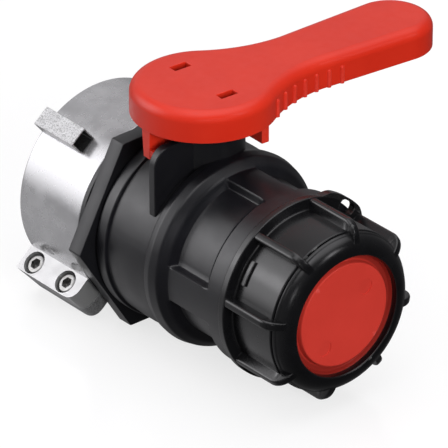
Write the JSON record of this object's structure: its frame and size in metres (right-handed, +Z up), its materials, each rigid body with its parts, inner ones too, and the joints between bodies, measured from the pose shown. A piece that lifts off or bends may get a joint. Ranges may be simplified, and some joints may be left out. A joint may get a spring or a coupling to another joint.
{
  "type": "clamp-on tank ball valve",
  "caption": "Quarter-turn ball valve for a liquid tank: metal clamp collar at the inlet, lever handle on top, threaded outlet closed by a screw cap with a seal disc.",
  "frame": {"origin": "on the flow axis, in the plane of the clamp collar's tank-side face", "axes": "+X along the flow from the tank to the outlet, +Z up along the stem, +Y the way the shut handle points"},
  "size_m": [0.1659, 0.1717, 0.1189],
  "materials": {
    "black_polymer": "moulded polypropylene, satin with a fine moulded grain",
    "gloss_black_polymer": "moulded polymer, slightly glossier than the body",
    "red_polymer": "satin moulded polymer, orange red",
    "cast_aluminium": "as cast, lightly tumbled",
    "zinc_steel": "zinc-plated socket screws",
    "ptfe": "machined white fluoropolymer",
    "seal_rubber": "moulded sealing rubber",
    "ball_polymer": "polished pale polymer"
  },
  "bodies": {
    "valve": {"valve_body": "black_polymer", "inlet_end_nut": "black_polymer", "clamp_ring": "cast_aluminium", "clamp_screw_rear": "zinc_steel", "clamp_screw_front": "zinc_steel", "inlet_gasket": "seal_rubber", "end_oring": "seal_rubber", "seat_inlet": "ptfe", "seat_outlet": "ptfe", "seat_oring_inlet": "seal_rubber", "seat_oring_outlet": "seal_rubber"},
    "handle": {"handle": "red_polymer", "stem": "black_polymer", "ball": "ball_polymer", "stem_oring_lower": "seal_rubber", "stem_oring_upper": "seal_rubber", "stem_thrust_washer": "ptfe"},
    "seal": {"seal_disc": "red_polymer", "cap_gasket": "seal_rubber"},
    "cap": {"outlet_cap": "gloss_black_polymer"}
  },
  "joints": [
    {"name": "handle_turn", "type": "hinge", "parent": "valve", "child": "handle", "pos_m": [0.0713, 0, 0.06], "axis": [0, 0, 1], "range_deg": [-88, 2]},
    {"name": "seal_slide", "type": "slide", "parent": "valve", "child": "seal", "axis": [1, 0, 0], "range_m": [0, 0.01501]},
    {"name": "cap_turn", "type": "hinge", "parent": "seal", "child": "cap", "pos_m": [0.148, 0, 0], "axis": [1, 0, 0], "range_deg": [0, 900]}
  ],
  "couplings": [
    {"joint": "seal_slide", "follows": "cap_turn", "m_per_rad": 0.00095493}
  ]
}
